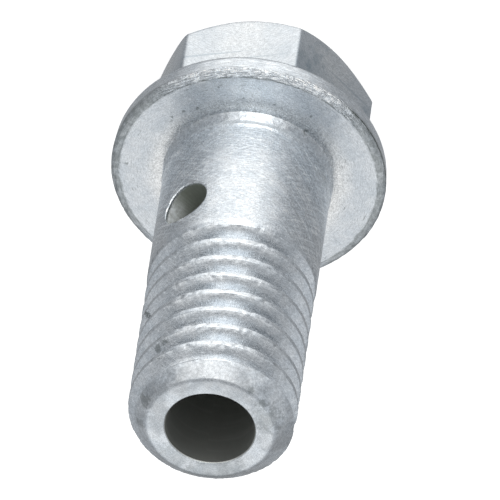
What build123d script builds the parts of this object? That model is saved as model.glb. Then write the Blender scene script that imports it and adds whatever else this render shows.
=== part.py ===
from build123d import *
import os
from math import acos, ceil, cos, degrees, radians, tan

# Flanged hollow bolt for a banjo fitting, M10 x 1.5, turned and rolled as one piece.
# It stands on its hexagon: the origin is the centre of the head's flat face, and +Z runs
# along the axis towards the threaded tip. The cross hole runs along X. Sizes are in mm.

# Head and flange
head_height = 7.5             # from the head's flat face to the bearing face
across_flats = 11.75
hex_corner_radius = 0.25
head_face_diameter = 10.95    # flat circle inside the head's chamfer
head_chamfer_angle = 45.0     # between the chamfer and the head's face
flange_diameter = 16.1
flange_back_diameter = 15.9   # the rim tapers a little towards the hexagon
rim_height = 1.16
rim_edge_chamfer = 0.15
bearing_diameter = 15.1       # flat ring that the washer seats on
bearing_bevel_height = 0.26
flange_back_angle = 25.0      # slope of the flange's back
flange_root_chamfer = 0.3     # where the back meets the hexagon

# Shank
under_head_length = 22.2
shank_diameter = 9.8
relief_diameter = 9.6         # shallow relief at the bearing face
relief_width = 0.95
relief_ramp_width = 0.2
relief_corner_chamfer = 0.15

# Oil holes
bore_diameter = 5.2
bore_depth = 17.5             # full diameter, measured from the tip
drill_point_angle = 118.0
bore_edge_break = 0.2
cross_hole_diameter = 3.0
cross_hole_distance = 7.0     # from the bearing face to its centre

# Thread
thread_diameter = 9.73
thread_pitch = 1.5
thread_root_diameter = 8.16
thread_crest_width = 0.35
thread_flank_angle = 30.0
thread_start_distance = 9.92  # from the bearing face to the first full groove
thread_start_angle = -165.0   # of that place about Z, from +X
run_out_radius = 6.0          # the groove leaves the shank on an arc of this radius
cutter_overreach = 0.2        # of the groove's section past the shank's surface
tip_chamfer = 1.2             # at 45 degrees

# Places along Z
bearing_z = head_height
rim_front_z = bearing_z - bearing_bevel_height
rim_back_z = rim_front_z - rim_height
relief_z = bearing_z + relief_width
shank_z = relief_z + relief_ramp_width
cross_hole_z = bearing_z + cross_hole_distance
thread_start_z = bearing_z + thread_start_distance
shank_end_z = thread_start_z + thread_pitch / 4
tip_z = bearing_z + under_head_length

# Radii and the sizes that follow
flat_r = across_flats / 2
hex_corner_r = flat_r / cos(radians(30))
head_face_r = head_face_diameter / 2
head_chamfer_height = (hex_corner_r - head_face_r) * tan(radians(head_chamfer_angle))
flange_back_r = flange_back_diameter / 2
core_r = flat_r / 2
flange_back_drop = (flange_back_r - core_r) * tan(radians(flange_back_angle))
relief_r = relief_diameter / 2
shank_r = shank_diameter / 2
bore_r = bore_diameter / 2
bore_end_z = tip_z - bore_depth
drill_point_height = bore_r / tan(radians(drill_point_angle / 2))
thread_r = thread_diameter / 2
root_r = thread_root_diameter / 2

# The groove is a V, cut off flat at the root diameter and reaching past the surface that it cuts
cutter_r = max(shank_r, thread_r) + cutter_overreach
flank_slope = tan(radians(thread_flank_angle))
groove_half_width = (thread_pitch - thread_crest_width) / 2
cutter_half_width = groove_half_width + (cutter_r - thread_r) * flank_slope
vee_r = cutter_r - cutter_half_width / flank_slope
turn_count = ceil((tip_z - thread_start_z) / thread_pitch) + 1

# Section of the groove, where its first full turn starts
with BuildSketch(Plane.XZ) as groove_section:
    with BuildLine():
        Polyline(
            (vee_r, 0),
            (cutter_r, cutter_half_width),
            (cutter_r, -cutter_half_width),
            close=True,
        )
    make_face()
    with Locations((root_r, 0)):
        Rectangle(
            cutter_r - root_r,
            2 * cutter_half_width,
            align=(Align.MIN, Align.CENTER),
            mode=Mode.INTERSECT,
        )

# One full turn of the groove
with BuildPart() as groove_turn:
    with BuildLine() as turn_path:
        Helix(pitch=thread_pitch, height=thread_pitch, radius=root_r)
    sweep(groove_section.sketch, path=turn_path.line, is_frenet=True)

# Run-out of the groove: an arc tangent to the helix, rising until it clears the shank
centre_offset = run_out_radius - root_r
run_out_angle = degrees(
    acos((centre_offset**2 + run_out_radius**2 - cutter_r**2) / (2 * centre_offset * run_out_radius))
)
run_out_normal = Vector(1, 0, 0).cross(turn_path.line % 0)
run_out_plane = Plane(origin=(root_r, 0, 0), x_dir=(1, 0, 0), z_dir=run_out_normal)
with BuildPart() as groove_run_out:
    with BuildLine(run_out_plane) as run_out_path:
        CenterArc((-run_out_radius, 0), run_out_radius, start_angle=0, arc_size=-run_out_angle)
    sweep(groove_section.sketch, path=run_out_path.line, is_frenet=True)

with BuildPart() as banjo_bolt:
    # Hexagon, its corners turned off towards the head's face
    with BuildSketch():
        RegularPolygon(radius=flat_r, side_count=6, major_radius=False)
        fillet(vertices(), radius=hex_corner_radius)
    extrude(amount=rim_back_z)
    with BuildSketch(Plane.YZ):
        with BuildLine():
            Polyline(
                (0, 0),
                (head_face_r, 0),
                (hex_corner_r, head_chamfer_height),
                (hex_corner_r, rim_back_z),
                (0, rim_back_z),
                close=True,
            )
        make_face()
    revolve(axis=Axis.Z, mode=Mode.INTERSECT)

    # Flange, relief, shank and the blank of the thread
    with BuildSketch(Plane.YZ):
        with BuildLine():
            Polyline(
                (0, rim_back_z - flange_back_drop),
                (core_r, rim_back_z - flange_back_drop),
                (flange_back_r, rim_back_z),
                (flange_diameter / 2, rim_front_z),
                (bearing_diameter / 2, bearing_z),
                (relief_r, bearing_z),
                (relief_r, relief_z),
                (shank_r, shank_z),
                (shank_r, shank_end_z),
                (thread_r, shank_end_z),
                (thread_r, tip_z - tip_chamfer),
                (thread_r - tip_chamfer, tip_z),
                (0, tip_z),
                close=True,
            )
        make_face()
        chamfer(vertices().sort_by_distance((flange_back_r, rim_back_z))[0], length=rim_edge_chamfer)
        chamfer(vertices().sort_by_distance((relief_r, bearing_z))[0], length=relief_corner_chamfer)
    revolve(axis=Axis.Z)
    chamfer(edges(Select.NEW), length=flange_root_chamfer)

    # Thread, cut turn by turn from its run-out to past the tip
    with Locations(Location((0, 0, thread_start_z), (0, 0, thread_start_angle))):
        add(groove_run_out.part, mode=Mode.SUBTRACT)
    for turn in range(turn_count):
        turn_z = thread_start_z + turn * thread_pitch
        with Locations(Location((0, 0, turn_z), (0, 0, thread_start_angle))):
            add(groove_turn.part, mode=Mode.SUBTRACT)

    # Blind oil bore from the tip, with its drill point and broken edge
    with BuildSketch(Plane.YZ):
        with BuildLine():
            Polyline(
                (0, bore_end_z - drill_point_height),
                (bore_r, bore_end_z),
                (bore_r, tip_z - bore_edge_break),
                (bore_r + bore_edge_break, tip_z),
                (0, tip_z),
                close=True,
            )
        make_face()
    revolve(axis=Axis.Z, mode=Mode.SUBTRACT)

    # Cross hole, through both walls of the bore
    with Locations(Plane(origin=(0, 0, cross_hole_z), z_dir=(1, 0, 0))):
        Hole(radius=cross_hole_diameter / 2)

banjo_bolt.part.label = "banjo_bolt"
os.makedirs("parts", exist_ok=True)
export_step(banjo_bolt.part, "parts/banjo_bolt.step")
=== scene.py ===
"""A plated banjo bolt, standing on its head on a pale floor.

The bolt is one turned and rolled piece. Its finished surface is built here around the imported
part: a spun right-hand thread with its run-out, a lathed shank, flange and hexagon, then the
chamfered tip, the blind bore and the cross hole, and last the marks of handling. Sizes are in
millimetres while a mesh is being made, and the finished mesh is scaled to metres.
"""

from __future__ import annotations

import logging
import math
from dataclasses import dataclass, field
from enum import Enum
from functools import cached_property, partial, reduce
from typing import Callable, Sequence, Union

import bmesh
import bpy
from mathutils import Matrix, Vector, noise

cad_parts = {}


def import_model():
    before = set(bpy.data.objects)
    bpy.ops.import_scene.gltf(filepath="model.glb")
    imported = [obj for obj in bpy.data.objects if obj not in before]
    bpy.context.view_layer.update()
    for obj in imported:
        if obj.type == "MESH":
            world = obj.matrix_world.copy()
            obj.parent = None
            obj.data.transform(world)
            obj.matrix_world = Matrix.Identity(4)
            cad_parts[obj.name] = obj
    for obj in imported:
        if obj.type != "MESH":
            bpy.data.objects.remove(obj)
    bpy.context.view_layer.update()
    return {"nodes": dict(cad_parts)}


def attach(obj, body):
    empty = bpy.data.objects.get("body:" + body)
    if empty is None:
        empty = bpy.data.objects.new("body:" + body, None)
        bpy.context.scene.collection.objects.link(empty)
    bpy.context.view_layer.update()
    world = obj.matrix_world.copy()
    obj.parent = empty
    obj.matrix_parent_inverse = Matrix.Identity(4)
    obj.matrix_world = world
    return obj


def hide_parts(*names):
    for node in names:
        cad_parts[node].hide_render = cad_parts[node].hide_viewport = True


LOG = logging.getLogger("banjo_bolt")
METRES = 0.001
TAU = 2 * math.pi
SAME_POINT = 1e-5
ON_PLANE = 1e-4
SLIVER = 1e-3
NODE = "banjo_bolt"
BODY = "root"

Colour = tuple[float, float, float]
Point = tuple[float, float, float]
Socket = bpy.types.NodeSocket
Value = Union[Socket, float, Colour]
Object = bpy.types.Object
BMesh = bmesh.types.BMesh
Station = tuple[float, float]
Ring = Callable[[float], Station]


def smooth_step(low: float, high: float, value: float) -> float:
    """Ramp from 0 to 1 as value goes from low to high, with no kink at either end.

    Args:
        low: value where the ramp starts.
        high: value where the ramp ends.
        value: place on the ramp.

    Returns:
        A share from 0 to 1.
    """
    share = min(max((value - low) / (high - low), 0.0), 1.0)
    return share * share * (3 - 2 * share)


def steps_between(start: Station, end: Station, count: int) -> list[Station]:
    """Evenly spaced stations after start, up to and with end.

    Args:
        start: radius and height already drawn.
        end: radius and height of the last station.
        count: number of stations.

    Returns:
        The stations in order.
    """
    (from_r, from_z), (to_r, to_z) = start, end
    return [
        (from_r + (to_r - from_r) * step / count, from_z + (to_z - from_z) * step / count)
        for step in range(1, count + 1)
    ]


def rounded(before: Station, corner: Station, after: Station, radius: float) -> list[Station]:
    """Three stations that round a corner of a profile.

    Args:
        before: a station on the way to the corner.
        corner: the sharp corner.
        after: a station on the way from the corner.
        radius: about how far from the corner the rounding starts.

    Returns:
        The start, middle and end of the rounding.
    """
    here = Vector(corner)
    back = here + (Vector(before) - here).normalized() * radius
    front = here + (Vector(after) - here).normalized() * radius
    middle = (back + front + 2 * here) / 4
    return [tuple(back), tuple(middle), tuple(front)]


def bowed(start: Station, control: Station, end: Station, count: int) -> list[Station]:
    """Stations along a bowed line, after its start and up to its end.

    Args:
        start: radius and height already drawn.
        control: the corner that the bow pulls towards.
        end: radius and height of the last station.
        count: number of stations.

    Returns:
        The stations in order.
    """
    first, pull, last = Vector(start), Vector(control), Vector(end)
    shares = [step / count for step in range(1, count + 1)]
    return [tuple(first * (1 - t) ** 2 + pull * 2 * t * (1 - t) + last * t * t) for t in shares]


def spun(profile: Sequence[Station], columns: int, rise: float = 0.0) -> BMesh:
    """Profile turned once about Z, which joins up with its start unless it climbs.

    Args:
        profile: radius and height of each station.
        columns: steps round the axis.
        rise: how far the turn climbs.

    Returns:
        A new bmesh.
    """
    shape = bmesh.new()
    verts = [shape.verts.new((radius, 0, height)) for radius, height in profile]
    edges = [shape.edges.new(pair) for pair in zip(verts, verts[1:])]
    bmesh.ops.spin(
        shape, geom=verts + edges, cent=(0, 0, 0), axis=(0, 0, 1), angle=TAU,
        dvec=(0, 0, rise / columns), steps=columns, use_merge=not rise,
    )
    return shape


def lathe(name: str, profile: Sequence[Station], columns: int) -> Object:
    """Closed solid of revolution about Z, its profile running from axis to axis.

    Args:
        name: the object's name.
        profile: radius and height of each station, the first and last on the axis.
        columns: steps round the axis.

    Returns:
        The new object.
    """
    shape = spun(profile, columns)
    bmesh.ops.remove_doubles(shape, verts=shape.verts, dist=SAME_POINT)
    bmesh.ops.recalc_face_normals(shape, faces=shape.faces)
    return to_object(name, shape)


def to_object(name: str, shape: BMesh) -> Object:
    """Object that holds a bmesh, which is freed.

    Args:
        name: the object's and its mesh's name.
        shape: the mesh in the making.

    Returns:
        The new object, linked to the scene.
    """
    mesh = bpy.data.meshes.new(name)
    shape.to_mesh(mesh)
    shape.free()
    obj = bpy.data.objects.new(name, mesh)
    bpy.context.scene.collection.objects.link(obj)
    return obj


class Cut(Enum):
    """What a carving tool does to the piece that it meets."""

    KEEP_INSIDE = "INTERSECT"
    TAKE_AWAY = "DIFFERENCE"


def carve(piece: Object, tool: Object, cut: Cut) -> None:
    """Cut a piece with a tool, and throw the tool away.

    Args:
        piece: the object that is cut.
        tool: the closed object that cuts it.
        cut: whether the tool's inside is kept or taken away.
    """
    modifier = piece.modifiers.new(cut.name.lower(), "BOOLEAN")
    modifier.operation = cut.value
    modifier.solver = "EXACT"
    modifier.object = tool
    graph = bpy.context.evaluated_depsgraph_get()
    carved = bpy.data.meshes.new_from_object(piece.evaluated_get(graph))
    piece.modifiers.clear()
    piece.data = carved
    bpy.data.objects.remove(tool)


@dataclass
class Thread:
    """Right-hand rolled thread, with the run-out where its groove leaves the shank."""

    bearing_z: float
    tip_z: float
    shank_r: float = 4.9
    crest_r: float = 4.865
    root_r: float = 4.08
    pitch: float = 1.5
    crest_width: float = 0.32
    flank_angle: float = math.radians(30)
    start_distance: float = 9.92
    start_azimuth: float = math.radians(-165)
    run_out_azimuth: float = math.radians(67)
    columns: int = 240
    flank_rows: int = 4
    crest_break: float = 0.035
    root_break: float = 0.11
    blank_turns: int = 2
    turn_joint: float = 0.004
    rim_clearance: float = 0.1
    crest_turn: float = 0.51

    @property
    def start_z(self) -> float:
        """Height below which the thread has no full groove."""
        return self.bearing_z + self.start_distance - self.pitch / 2

    @property
    def lower_z(self) -> float:
        """Height of the skin's lower rim, below the run-out."""
        return self.groove_z(0) - (self.blank_turns - 0.5) * self.pitch + self.rim_clearance

    @property
    def upper_z(self) -> float:
        """Height of the skin's upper rim, a little past the tip."""
        return self.tip_z + self.pitch / 3

    def groove_z(self, azimuth: float) -> float:
        """Height of the groove's first full turn at an azimuth, as if it ran on both ways."""
        start_z = self.bearing_z + self.start_distance
        return start_z + self.pitch * (azimuth - self.start_azimuth) / TAU

    def profile(self) -> list[Station]:
        """One pitch of the thread's section, from crest to crest.

        Returns:
            Radius and height of each station, with the height counted from the groove's middle.
        """
        half = (self.pitch - self.crest_width) / 2
        root_half = half - (self.crest_r - self.root_r) * math.tan(self.flank_angle)
        crest, shoulder = (self.crest_r, self.pitch / 2), (self.crest_r, half)
        corner, floor = (self.root_r, root_half), (self.root_r, 0.0)
        upper_turn = rounded(crest, shoulder, corner, self.crest_break)
        lower_turn = rounded(shoulder, corner, floor, self.root_break)
        flank = steps_between(upper_turn[-1], lower_turn[0], self.flank_rows)[:-1]
        side = [crest, *upper_turn, *flank, *lower_turn]
        return [(r, -z) for r, z in side] + [floor] + [(r, z) for r, z in reversed(side)]

    def run_out_lift(self, turns_from_start: float) -> float:
        """How far the groove has risen out of the shank before its first full turn.

        Args:
            turns_from_start: turns along the helix, negative before the groove is full.

        Returns:
            Height of the groove's section above its full depth.
        """
        behind = -turns_from_start * TAU
        full_lift = self.shank_r - self.root_r + self.crest_break
        return full_lift * min(max(behind / self.run_out_azimuth, 0.0), 1.0) ** 2

    def skin(self) -> BMesh:
        """Open tube from the plain shank to past the tip, its rows following the helix.

        Returns:
            A new bmesh whose lower and upper rims are flat circles.
        """
        base_z = self.groove_z(0) - self.blank_turns * self.pitch
        section = [(radius, base_z + height) for radius, height in self.profile()]
        shape = spun(section, self.columns, rise=self.pitch)
        first_turn = [*shape.verts, *shape.edges, *shape.faces]
        for turn in range(1, math.ceil((self.tip_z + self.pitch - base_z) / self.pitch)):
            copied = bmesh.ops.duplicate(shape, geom=first_turn)["geom"]
            moved = [item for item in copied if isinstance(item, bmesh.types.BMVert)]
            bmesh.ops.translate(shape, verts=moved, vec=(0, 0, self.pitch * turn))
        bmesh.ops.remove_doubles(shape, verts=shape.verts, dist=self.turn_joint)
        self.raise_run_out(shape)
        for height, side in ((self.lower_z, -1), (self.upper_z, 1)):
            bmesh.ops.bisect_plane(
                shape, geom=[*shape.verts, *shape.edges, *shape.faces], dist=ON_PLANE,
                plane_co=(0, 0, height), plane_no=(0, 0, side), clear_outer=True,
            )
        return shape

    def raise_run_out(self, shape: BMesh) -> None:
        """Lift the groove out of the shank where the thread hasn't started.

        Args:
            shape: the spun thread.
        """
        for vert in shape.verts:
            azimuth = math.atan2(vert.co.y, vert.co.x)
            after_start = (azimuth - self.start_azimuth) % TAU
            first_z = self.groove_z(self.start_azimuth + after_start)
            turn = math.floor((vert.co.z - first_z) / self.pitch + self.crest_turn)
            if turn >= 0:
                continue
            radius = vert.co.xy.length
            lift = self.run_out_lift(turn + after_start / TAU)
            vert.co.xy *= min(radius + lift, self.shank_r) / radius


@dataclass
class Blank:
    """Hexagon, flange, relief and plain shank, drawn ring by ring from the thread downwards."""

    bearing_z: float = 7.5
    shank_r: float = 4.9
    relief_depth: float = 0.14
    relief_width: float = 0.98
    relief_low: float = 0.58
    relief_flare: float = 0.23
    flare_power: float = 1.15
    lip: float = 0.07
    lip_height: float = 0.36
    bearing_r: float = 7.55
    flange_r: float = 8.05
    flange_back_r: float = 7.95
    bevel_height: float = 0.26
    bevel_bow: float = 0.075
    rim_height: float = 1.16
    rim_break: float = 0.16
    back_slope: float = math.tan(math.radians(25))
    flat_r: float = 5.875
    hex_corner_radius: float = 0.25
    head_face_r: float = 5.475
    root_fillet: float = 0.3
    edge_break: float = 0.08
    lip_rows: int = 6
    flare_rows: int = 8
    shank_rows: int = 30
    face_rows: int = 16
    rim_rows: int = 7
    back_rows: int = 5
    fillet_rows: int = 3
    side_rows: int = 18
    chamfer_rows: int = 5
    head_face_rows: int = 7

    @property
    def rim_front_z(self) -> float:
        """Height of the rim's upper edge."""
        return self.bearing_z - self.bevel_height

    @property
    def rim_back_z(self) -> float:
        """Height of the rim's lower edge."""
        return self.bearing_z - self.bevel_height - self.rim_height

    @cached_property
    def back_turn(self) -> list[Station]:
        """Rounding of the rim's lower edge, which ends on the flange's back.

        Returns:
            Its three stations.
        """
        front_rim, back_rim = (self.flange_r, self.rim_front_z), (self.flange_back_r, self.rim_back_z)
        inner_back = (self.flat_r, self.rim_back_z - (self.flange_back_r - self.flat_r) * self.back_slope)
        return rounded(front_rim, back_rim, inner_back, self.rim_break)

    def hexagon(self, azimuth: float) -> float:
        """Distance from the axis to the hexagon's side, with its corners a little round.

        Args:
            azimuth: direction from the axis.

        Returns:
            The distance.
        """
        sixth = TAU / 6
        off_flat = (azimuth % sixth) - sixth / 2
        corner = self.flat_r / math.cos(sixth / 2)
        blunt = corner - self.hex_corner_radius * (1 / math.cos(sixth / 2) - 1)
        return min(self.flat_r / math.cos(off_flat), blunt)

    def relief(self) -> list[Station]:
        """Hollow turned between the shank and the bearing face, flared towards the face.

        Returns:
            Stations from the shank's rounded edge down to the bearing face.
        """
        deep_r = self.shank_r - self.relief_depth
        edge = (self.shank_r + self.lip, self.bearing_z + self.relief_width)
        ledge = (deep_r, edge[1] - 1.2 * self.relief_depth)
        lip_start = (self.shank_r, edge[1] + self.lip_height)
        lip_pull = (self.shank_r, edge[1] + self.lip_height / 2)
        lip = [lip_start, *bowed(lip_start, lip_pull, edge, self.lip_rows)[:-1]]
        flare = []
        for step in range(self.flare_rows + 1):
            height = self.relief_low * (1 - step / self.flare_rows)
            share = (1 - height / self.relief_low) ** self.flare_power
            flare.append((deep_r + self.relief_flare * share, self.bearing_z + height))
        softened = rounded(lip[-1], edge, ledge, self.edge_break / 2)
        return [*lip, *softened, ledge, *flare, (flare[-1][0] + self.edge_break / 2, self.bearing_z)]

    def rings(self, from_z: float) -> list[Ring]:
        """Every ring from the thread's skin down to the head's face.

        Args:
            from_z: height of the thread skin's lower rim.

        Returns:
            Functions that give radius and height at an azimuth.
        """
        relief = self.relief()
        face_rim = (self.bearing_r, self.bearing_z)
        front_rim = (self.flange_r, self.rim_front_z)
        back_rim = (self.flange_back_r, self.rim_back_z)
        bow = (self.flange_r - self.bevel_bow, self.bearing_z - self.bevel_bow)
        face_turn = rounded(relief[-1], face_rim, bow, self.edge_break)
        front_turn = rounded(bow, front_rim, back_rim, self.edge_break / 2)
        plain = [
            *steps_between((self.shank_r, from_z), relief[0], self.shank_rows),
            *relief[1:],
            *steps_between(relief[-1], face_turn[0], self.face_rows),
            *face_turn[1:],
            *bowed(face_turn[-1], bow, front_turn[0], self.rim_rows),
            *front_turn[1:],
            *steps_between(front_turn[-1], self.back_turn[0], self.rim_rows),
            *self.back_turn[1:],
        ]
        return [lambda _, station=station: station for station in plain] + self.head_rings()

    def head_rings(self) -> list[Ring]:
        """Rings of the flange's back, the hexagon and its chamfered face.

        Returns:
            Functions that give radius and height at an azimuth.
        """
        stretches = (
            (self.along_back, 1, self.back_rows),
            (self.round_root, 1, self.fillet_rows),
            (self.down_side, 1, self.side_rows),
            (self.across_chamfer, 0, self.chamfer_rows),
        )
        rings = [
            partial(draw, step / rows)
            for draw, first, rows in stretches
            for step in range(first, rows + 1)
        ]
        face_shares = [1 - step / self.head_face_rows for step in range(1, self.head_face_rows)]
        inner_radii = [self.head_face_r * share for share in face_shares]
        face_radii = [self.head_face_r - self.edge_break / 2, *inner_radii]
        return rings + [lambda _, radius=radius: (radius, 0.0) for radius in face_radii]

    def back_z(self, radius: float) -> float:
        """Height of the flange's sloped back at a distance from the axis."""
        start_r, start_z = self.back_turn[-1]
        return start_z - (start_r - radius) * self.back_slope

    @cached_property
    def fillet_reach(self) -> float:
        """How far out the root's fillet starts on the flange's back."""
        return self.root_fillet * math.cos(math.atan(self.back_slope))

    def along_back(self, share: float, azimuth: float) -> Station:
        """Place on the flange's back.

        Args:
            share: 0 at its rim, 1 where the root's fillet starts.
            azimuth: direction from the axis.

        Returns:
            Radius and height.
        """
        start_r = self.back_turn[-1][0]
        radius = start_r + (self.hexagon(azimuth) + self.fillet_reach - start_r) * share
        return radius, self.back_z(radius)

    def round_root(self, share: float, azimuth: float) -> Station:
        """Place on the fillet between the flange's back, at share 0, and the hexagon's side."""
        radius = self.hexagon(azimuth) + self.fillet_reach * (1 - share) ** 2
        return radius, self.back_z(radius) - self.root_fillet * share**2

    def down_side(self, share: float, azimuth: float) -> Station:
        """Place on the hexagon's side.

        Args:
            share: 0 at the fillet, 1 at the chamfer.
            azimuth: direction from the axis.

        Returns:
            Radius and height.
        """
        radius = self.hexagon(azimuth)
        top = self.back_z(radius) - self.root_fillet
        foot = radius - self.head_face_r + self.edge_break / 2
        return radius, top + (foot - top) * share

    def across_chamfer(self, share: float, azimuth: float) -> Station:
        """Place on the chamfer round the head's face.

        Args:
            share: 0 at the hexagon's side, 1 at the face.
            azimuth: direction from the axis.

        Returns:
            Radius and height.
        """
        outer = self.hexagon(azimuth) - self.edge_break / 2
        radius = outer + (self.head_face_r + self.edge_break / 2 - outer) * share
        return radius, radius - self.head_face_r

    def extend(self, shape: BMesh, from_z: float) -> None:
        """Draw the blank onto the lower rim of the thread's skin and close it at the head's face.

        Args:
            shape: the thread's skin.
            from_z: height of its lower rim.
        """
        rim = [edge for edge in shape.edges if edge.is_boundary and edge.verts[0].co.z < from_z + 0.01]
        for ring in self.rings(from_z):
            drawn = bmesh.ops.extrude_edge_only(shape, edges=rim)["geom"]
            rim = [item for item in drawn if isinstance(item, bmesh.types.BMEdge) and item.is_boundary]
            for vert in (item for item in drawn if isinstance(item, bmesh.types.BMVert)):
                azimuth = math.atan2(vert.co.y, vert.co.x)
                radius, height = ring(azimuth)
                vert.co = (radius * math.cos(azimuth), radius * math.sin(azimuth), height)
        bmesh.ops.holes_fill(shape, edges=rim, sides=0)


@dataclass
class BanjoBolt:
    """The whole bolt: thread, blank, tip, oil holes and the marks on its surface."""

    thread: Thread
    blank: Blank
    under_head_length: float = 22.2
    tip_chamfer: float = 1.2
    tip_break: float = 0.2
    band_margin: float = 0.3
    band_rows: int = 12
    end_rows: int = 8
    bore_r: float = 2.6
    bore_depth: float = 17.5
    bore_edge_break: float = 0.07
    bore_rows: int = 70
    point_rows: int = 6
    break_rows: int = 3
    bore_wave: float = 0.012
    bore_frequency: float = 3.1
    drill_point: float = math.radians(118)
    overshoot: float = 0.6
    cross_hole_r: float = 1.5
    cross_hole_distance: float = 7.0
    cross_edge_break: float = 0.045
    mouth_flare: tuple[Station, ...] = ((5, 2.5), (1.1, 0), (0.5, -0.4), (0.15, -0.9))
    mouth_end: float = -1.6
    cross_gap: float = 0.1
    cross_rows: int = 40
    cross_columns: int = 96
    end_columns: int = 240
    bore_columns: int = 120
    sharp_angle: float = math.radians(42)

    @property
    def tip_z(self) -> float:
        """Height of the end face."""
        return self.blank.bearing_z + self.under_head_length

    @property
    def chamfer_z(self) -> float:
        """Height where the chamfer at the tip starts."""
        return self.tip_z - self.tip_chamfer

    @property
    def cross_z(self) -> float:
        """Height of the cross hole's axis."""
        return self.blank.bearing_z + self.cross_hole_distance

    def build(self) -> Object:
        """Make the bolt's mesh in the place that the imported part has.

        Returns:
            The finished piece, in millimetres, with no material yet.
        """
        shape = self.thread.skin()
        self.blank.extend(shape, self.thread.lower_z)
        rim = [edge for edge in shape.edges if edge.is_boundary]
        bmesh.ops.holes_fill(shape, edges=rim, sides=0)
        bmesh.ops.recalc_face_normals(shape, faces=shape.faces)
        piece = to_object("bolt_surface", shape)
        LOG.info("blank and thread: %d vertices", len(piece.data.vertices))
        carve(piece, self.tip_envelope(), Cut.KEEP_INSIDE)
        carve(piece, self.bore_tool(), Cut.TAKE_AWAY)
        carve(piece, self.cross_tool(), Cut.TAKE_AWAY)
        LOG.info("after the tip, bore and cross hole: %d vertices", len(piece.data.vertices))
        return piece

    def tip_envelope(self) -> Object:
        """Body of revolution that the bolt is kept inside, chamfered at the tip.

        Returns:
            A closed tool.
        """
        wide = 2 * self.blank.flange_r
        face_r = self.thread.crest_r - self.tip_chamfer
        wide_edge = (wide, self.tip_z - (wide - face_r))
        band_start = (face_r + self.tip_chamfer + self.band_margin, self.chamfer_z - self.band_margin)
        turn = rounded(band_start, (face_r, self.tip_z), (0, self.tip_z), self.tip_break)
        profile = [
            (0, -wide),
            (wide, -wide),
            wide_edge,
            band_start,
            *steps_between(band_start, turn[0], self.band_rows),
            *turn[1:],
            *steps_between(turn[-1], (self.bore_r, self.tip_z), self.end_rows),
            (0, self.tip_z),
        ]
        return lathe("tip_envelope", profile, self.end_columns)

    def bore_tool(self) -> Object:
        """Drill with a step that breaks the bore's edge, standing in the tip.

        Returns:
            A closed tool.
        """
        end_z = self.tip_z - self.bore_depth
        point_z = end_z - self.bore_r / math.tan(self.drill_point / 2)
        mouth = (self.bore_r, self.tip_z - self.bore_edge_break)
        broken_r = self.bore_r + self.bore_edge_break
        wall = steps_between((self.bore_r, end_z), mouth, self.bore_rows)
        waves = [self.bore_wave * noise.noise((0, 0, self.bore_frequency * z)) for _, z in wall[:-1]]
        marked = [(r + wave, z) for wave, (r, z) in zip(waves, wall)]
        profile = [
            (0, point_z),
            *steps_between((0, point_z), (self.bore_r, end_z), self.point_rows),
            *marked,
            mouth,
            *steps_between(mouth, (broken_r, self.tip_z), self.break_rows),
            (broken_r + self.overshoot, self.tip_z + self.overshoot),
            (0, self.tip_z + self.overshoot),
        ]
        return lathe("bore_tool", profile, self.bore_columns)

    def cross_tool(self) -> Object:
        """Rod that drills the cross hole along X, and breaks its edges where it leaves the shank.

        Returns:
            A closed tool.
        """
        edge, hole_r, shank_r = self.cross_edge_break, self.cross_hole_r, self.blank.shank_r
        mouth = [(out * edge, past * edge) for out, past in (*self.mouth_flare, (0, self.mouth_end))]
        wall = steps_between(mouth[-1], (0, (self.cross_gap - 1) * shank_r), self.cross_rows)
        half = [(hole_r + out, shank_r + past) for out, past in [*mouth, *wall]]
        profile = [(0, half[0][1]), *half, *((r, -z) for r, z in reversed(half)), (0, -half[0][1])]
        rod = lathe("cross_tool", profile, self.cross_columns)
        for vert in rod.data.vertices:
            hollow = shank_r - math.sqrt(shank_r**2 - vert.co.y**2)
            vert.co.z -= math.copysign(hollow, vert.co.z)
        lie = Matrix.Rotation(TAU / 4, 4, "Y")
        rod.data.transform(Matrix.Translation((0, 0, self.cross_z)) @ lie)
        return rod


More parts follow.
